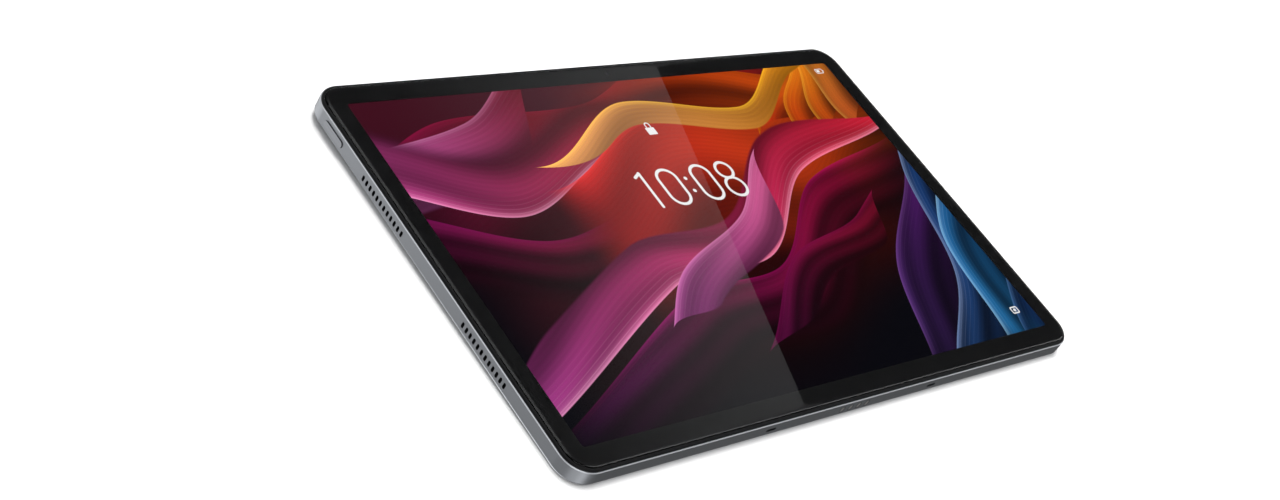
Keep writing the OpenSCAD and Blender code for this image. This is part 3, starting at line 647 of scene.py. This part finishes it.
def cover_glass(material):
    """Flat cover glass whose edge rolls over in a quarter ellipse."""
    low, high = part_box("cover_glass")
    width, height = high.x - low.x, high.y - low.y
    radius = CORNER_R - (BODY_HALF_W - high.x)
    steps = 10
    foot = low.z + FILM
    profile = [(2 * CURVE_W, foot), (GLASS_FOOT, foot), (0.0, foot + GLASS_FOOT)]
    for i in range(steps + 1):
        a = math.radians(90 * i / steps)
        profile.append((CURVE_W * (1 - math.cos(a)), high.z - CURVE_H * (1 - math.sin(a))))
    profile.append((2 * CURVE_W, high.z))
    rings = []
    for inset, z in profile:
        outline = rounded_outline(width - 2 * inset, height - 2 * inset, radius - inset)
        rings.append([(x, y, z) for x, y in outline])
    piece = new_piece("cover_glass_sheet", *loft(rings), "tablet", material, "cover_glass", 40)
    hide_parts("cover_glass", "display_adhesive")


def lens_barrel(material):
    """The rear camera's barrel: a stepped black cone round a domed front lens."""
    low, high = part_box("camera_barrel")
    at, r = middle("camera_barrel"), (high.x - low.x) / 2
    steps = [(1.0, 0.0), (0.93, 0.0), (0.90, 0.12 * MM), (0.80, 0.12 * MM), (0.78, 0.26 * MM),
             (0.66, 0.26 * MM), (0.64, 0.40 * MM), (0.52, 0.40 * MM), (LENS_SHARE, BARREL_H)]
    profile = [(0, high.z), (r, high.z)] + [(r * share, low.z + z) for share, z in steps]
    profile.append((0, low.z + BARREL_H))
    piece = new_piece("lens_barrel", *lathe(at, profile), "focus_barrel", material, "camera_black")
    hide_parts("camera_barrel")


def lens_element(material):
    """The domed front lens in the barrel."""
    low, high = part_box("camera_barrel")
    at, r = middle("camera_barrel"), (high.x - low.x) / 2 * LENS_SHARE
    base = low.z + BARREL_H - 0.02 * MM
    profile = [(0, base)]
    steps = 10
    for i in range(steps):
        a = math.radians(90 * i / steps)
        profile.append((r * math.cos(a), base - LENS_RISE * math.sin(a)))
    profile.append((0, base - LENS_RISE))
    new_piece("lens_element", *lathe(at, profile), "focus_barrel", material, "lens_window")


def front_camera_eye(material):
    """Small domed lens seen through the clear spot above the picture."""
    at = middle("border_mask")
    at.y = (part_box("cover_glass")[1].y + SCREEN_H / 2) / 2 + 0.2 * MM
    r, base, rise = EYE_R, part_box("front_camera")[1].z + 0.01 * MM, EYE_RISE
    profile = [(0, base), (r, base), (r * 0.8, base + rise * 0.2), (r * 0.72, base + rise * 0.2)]
    steps = 8
    for i in range(steps):
        a = math.radians(90 * i / steps)
        profile.append((r * 0.7 * math.cos(a), base + rise * (0.2 + 0.8 * math.sin(a))))
    profile.append((0, base + rise))
    new_piece("front_camera_eye", *lathe(at, profile, 40), "tablet", material, "lens_window")


# ----------------------------------------------------------------------- stage

def make_camera():
    """A camera that looks down on the screen from beyond its lower left corner, rolled."""
    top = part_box("cover_glass")[1].z
    aim = Vector((*AIM, top))
    azimuth, elevation, roll = (math.radians(a) for a in (AZIMUTH, ELEVATION, ROLL))
    back = Vector((math.sin(azimuth) * math.cos(elevation),
                   -math.cos(azimuth) * math.cos(elevation), math.sin(elevation)))
    data = bpy.data.cameras.new("camera")
    data.sensor_width, data.lens = SENSOR, FOCAL_LENGTH
    data.clip_start, data.clip_end = 0.01, 100.0
    camera = bpy.data.objects.new("camera", data)
    level = (-back).to_track_quat("-Z", "Y").to_matrix()
    turn = (level @ Matrix.Rotation(roll, 3, "Z")).to_4x4()
    camera.matrix_world = Matrix.Translation(aim + back * DISTANCE) @ turn
    bpy.context.scene.collection.objects.link(camera)
    bpy.context.scene.camera = camera
    return camera


def make_floor():
    """A white floor that the lens ring and the bottom edge rest on, seen through from below. Metal
    and glass mirror the studio round it, not the floor."""
    ring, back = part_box("camera_trim")[0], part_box("rear_cover")[0]
    ring_y = middle("camera_trim").y
    slope = (ring.z - back.z) / (ring_y - (back.y + 1.2 * MM))
    size = 12.0
    corners = [(-size, -size), (size, -size), (size, size), (-size, size)]
    mesh = bpy.data.meshes.new("floor")
    mesh.from_pydata([(x, y, ring.z - 0.02 * MM + (y - ring_y) * slope) for x, y in corners], [],
                     [(0, 1, 2, 3)])
    net = Net("floor_paper")
    net.finish(Base_Color=net.tint((0.90, 0.90, 0.90), 0.004, net.noise(9.0, 3.0)),
               Roughness=0.9, Specular_IOR_Level=0.0)
    tree = net.tree
    geometry = tree.nodes.new("ShaderNodeNewGeometry")
    clear = tree.nodes.new("ShaderNodeBsdfTransparent")
    choose = tree.nodes.new("ShaderNodeMixShader")
    out = next(n for n in tree.nodes if n.type == "OUTPUT_MATERIAL")
    tree.links.new(geometry.outputs["Backfacing"], choose.inputs[0])
    tree.links.new(net.shader.outputs[0], choose.inputs[1])
    tree.links.new(clear.outputs[0], choose.inputs[2])
    tree.links.new(choose.outputs[0], out.inputs["Surface"])
    mesh.materials.append(net.material)
    floor = bpy.data.objects.new("floor", mesh)
    floor.visible_glossy = floor.visible_diffuse = floor.visible_shadow = False
    floor.visible_transmission = False
    bpy.context.scene.collection.objects.link(floor)


def soft_sun(name, direction, strength, spread):
    """A far, broad light that brightens the floor evenly but does not show in the glass."""
    data = bpy.data.lights.new(name, "SUN")
    data.energy, data.angle = strength, math.radians(spread)
    light = bpy.data.objects.new(name, data)
    light.rotation_mode = "QUATERNION"
    light.rotation_quaternion = Vector(direction).to_track_quat("-Z", "Y")
    light.visible_glossy = light.visible_transmission = False
    bpy.context.scene.collection.objects.link(light)


def mirrored_line(camera, near, far):
    """Where the camera looks by way of the glass along a line on it from one point to another:
    the direction square to that plane of sight, and the direction of its middle."""
    eye = camera.matrix_world.translation
    image = Vector((eye.x, eye.y, 2 * near[2] - eye.z))
    a, b = (Vector(near) - image).normalized(), (Vector(far) - image).normalized()
    return a.cross(b).normalized(), (a + b).normalized()


def make_world(camera):
    """A studio of soft light all round: pale below, dim above so that the glass stays black, with
    a few brighter patches for the metal to mirror. A dim panel with one straight edge, fading away
    from it, shows in the left part of the glass. The camera itself sees plain white."""
    net = Net("studio", world=True)

    def toward(x, y, z):
        length = math.sqrt(x * x + y * y + z * z)
        return net.x * (x / length) + net.y * (y / length) + net.z * (z / length)

    def patch(direction, radius, soft, radiance):
        chamfer_highlight_weight, inner = (math.cos(math.radians(a)) for a in (radius + soft, radius))
        return net.smooth(chamfer_highlight_weight, inner, toward(*direction)) * radiance

    # the pale half below, with a brighter side and two darker ones
    below = 0.45 + net.smooth(0.76, 0.94, toward(-0.3, 0.9, -0.3)) * 0.95
    below = below - patch((0.75, -0.32, -0.58), 12, 28, 0.29)
    below = below - patch((0.70, 0.34, -0.63), 14, 20, 0.37)
    below = net.math("MAXIMUM", below, 0.05)
    above = net.smooth(-0.06, 0.05, net.z)
    light = below * (1.0 - above) + 0.015
    # patches for the round corners and the chamfers
    light = light + patch((-0.33, -0.62, 0.71), 14, 14, 0.8)
    light = light + patch((0.0, -0.74, -0.67), 7, 6, 1.0)
    light = light + patch((-0.42, -0.70, -0.58), 10, 14, 0.5)
    light = light + patch((0.33, 0.33, -0.88), 4, 8, 1.6)
    # strips for the rolled glass edge at the bottom and at the left
    strip = net.smooth(-0.44, -0.36, net.y) * (1.0 - net.smooth(-0.04, 0.02, net.y))
    light = light + strip * net.smooth(0.35, 0.5, net.x) * above * 1.3
    strip = net.smooth(0.22, 0.32, net.y) * (1.0 - net.smooth(0.55, 0.63, net.y))
    strip = strip * net.smooth(-0.95, -0.25, net.x) * (1.0 - net.smooth(0.40, 0.56, net.x))
    light = light + strip * net.smooth(0.50, 0.62, net.z) * 0.8
    # the dim panel that the left part of the glass mirrors
    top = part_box("cover_glass")[1].z
    outward, centre = mirrored_line(camera, (*EDGE_NEAR, top), (*EDGE_FAR, top))
    past = toward(*outward)
    panel = net.smooth(0.0, 0.0006, past) * (1.0 - net.smooth(0.0, 0.145, past))
    light = light + panel * patch(centre, 24, 10, 0.2)
    seen = net.tree.nodes.new("ShaderNodeLightPath").outputs["Is Camera Ray"]
    tone = net.shade((0.985, 0.99, 1.0), light)
    net.tree.links.new(net.mix(seen, tone, (1.0, 1.0, 1.0)), net.shader.inputs["Color"])
    bpy.context.scene.world = net.material


# ---------------------------------------------------------------------- set-up

def dress_nodes():
    """Gives every CAD node its material."""
    flash = middle("flash_lens")
    black = moulded("fine_black_plastic", (0.006, 0.006, 0.0065), 0.42, 0.3 * MM, 0.01 * MM, 0.3)
    steel = rolled_metal("stamped_steel", (0.55, 0.56, 0.58), 0.36)
    chip = chip_package("chip_epoxy")
    board = circuit_board("board_mask")
    film = flex_film("amber_film")
    pouch = foil("battery_pouch", (0.05, 0.05, 0.055), 0.45)
    keys = blasted_metal("key_metal", (0.36, 0.37, 0.39), 0.34)
    speaker = moulded("speaker_plastic", (0.014, 0.014, 0.016), 0.5)
    camera_black = moulded("camera_black", (0.010, 0.010, 0.011), 0.38, 0.2 * MM, 0.01 * MM, 0.2)
    gold = rolled_metal("contact_gold", (0.85, 0.62, 0.26), 0.25)
    looks = {
        "rear_cover": blasted_metal("housing_metal", (0.33, 0.342, 0.362), 0.33,
                                    (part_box("rear_cover")[0].z + REAR_CHAMFER,
                                     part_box("rear_cover")[1].z - FRONT_CHAMFER)),
        "antenna_panel": woven_band("band_weave", (0.35, 0.362, 0.385)),
        "camera_plate": gloss("camera_plate_gloss", (0.20, 0.207, 0.222), 0.10, 0.85, 0.8),
        "camera_trim": lens_trim_metal("lens_trim", (0.022, 0.022, 0.025), (0.72, 0.73, 0.76),
                                       middle("camera_trim"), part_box("camera_trim")[0].z),
        "camera_window": clear_glass("lens_window_glass", (0.72, 0.74, 0.78), 1.22),
        "flash_ring": rolled_metal("flash_ring_metal", (0.78, 0.79, 0.81), 0.18),
        "flash_lens": fresnel_plastic("flash_lens_plastic", flash),
        "flash_led": moulded("led_phosphor", (0.80, 0.66, 0.22), 0.5),
        "front_frame": black,
        "border_mask": border_print("border_print"),
        "lcd_cell": lit_screen("lit_screen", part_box("lcd_cell")[1].z),
        "backlight_unit": rolled_metal("backlight_frame", (0.75, 0.76, 0.77), 0.4),
        "graphite_sheet": foil("graphite_foil", (0.06, 0.06, 0.065), 0.5, 0.02 * MM),
        "front_camera": camera_black,
        "camera_module": camera_black,
        "usb_shell": rolled_metal("port_steel", (0.50, 0.51, 0.53), 0.30),
        "usb_tongue": moulded("port_plastic", (0.010, 0.010, 0.011), 0.45),
        "headphone_jack": moulded("socket_plastic", (0.010, 0.010, 0.011), 0.40),
        "contact_block": moulded("contact_plastic", (0.050, 0.051, 0.054), 0.42),
        "contacts": rolled_metal("contact_nickel", (0.66, 0.65, 0.63), 0.34),
        "speaker_meshes": dust_mesh("dust_mesh"),
        "power_switch": steel,
        "volume_switches": steel,
        "card_socket": steel,
        "memory_card": moulded("card_plastic", (0.015, 0.015, 0.017), 0.4),
        "antenna_cable": moulded("cable_jacket", (0.02, 0.02, 0.02), 0.5),
        "screws": rolled_metal("screw_steel", (0.36, 0.36, 0.37), 0.3),
    }
    groups = {
        board: ("main_board", "sub_board", "battery_board"),
        chip: ("processor", "memory_chip", "storage_chip", "power_chip", "radio_chip"),
        film: ("display_flex", "battery_flex", "sub_flex", "key_flex", "antennas"),
        pouch: ("battery_left", "battery_right"),
        keys: ("power_button", "volume_rocker", "card_tray"),
        speaker: ("speaker_top_left", "speaker_bottom_left", "speaker_top_right",
                  "speaker_bottom_right"),
        steel: ("processor_shield", "power_shield", "radio_shield"),
        gold: ("jack_springs", "microphones"),
    }
    for material, names in groups.items():
        looks.update({name: material for name in names})
    for name, material in looks.items():
        mesh = NODES[name].data
        mesh.materials.clear()
        mesh.materials.append(material)


make_world(make_camera())
make_floor()
dress_nodes()

glass = clear_glass("screen_glass")
cover_glass(glass)
barrel_black = moulded("barrel_black", (0.008, 0.008, 0.009), 0.35, 0.15 * MM, 0.006 * MM, 0.12)
coated = gloss("coated_lens", (0.010, 0.006, 0.020), 0.03, 0.0, 0.25, 0.3)
lens_barrel(barrel_black)
lens_element(coated)
front_camera_eye(coated)

soft_sun("overhead", (-0.05, -0.10, -1.0), 1.5, 110)
soft_sun("key", (-0.08, -0.21, -1.0), 2.5, 26)

bpy.context.scene.view_settings.view_transform = "Standard"
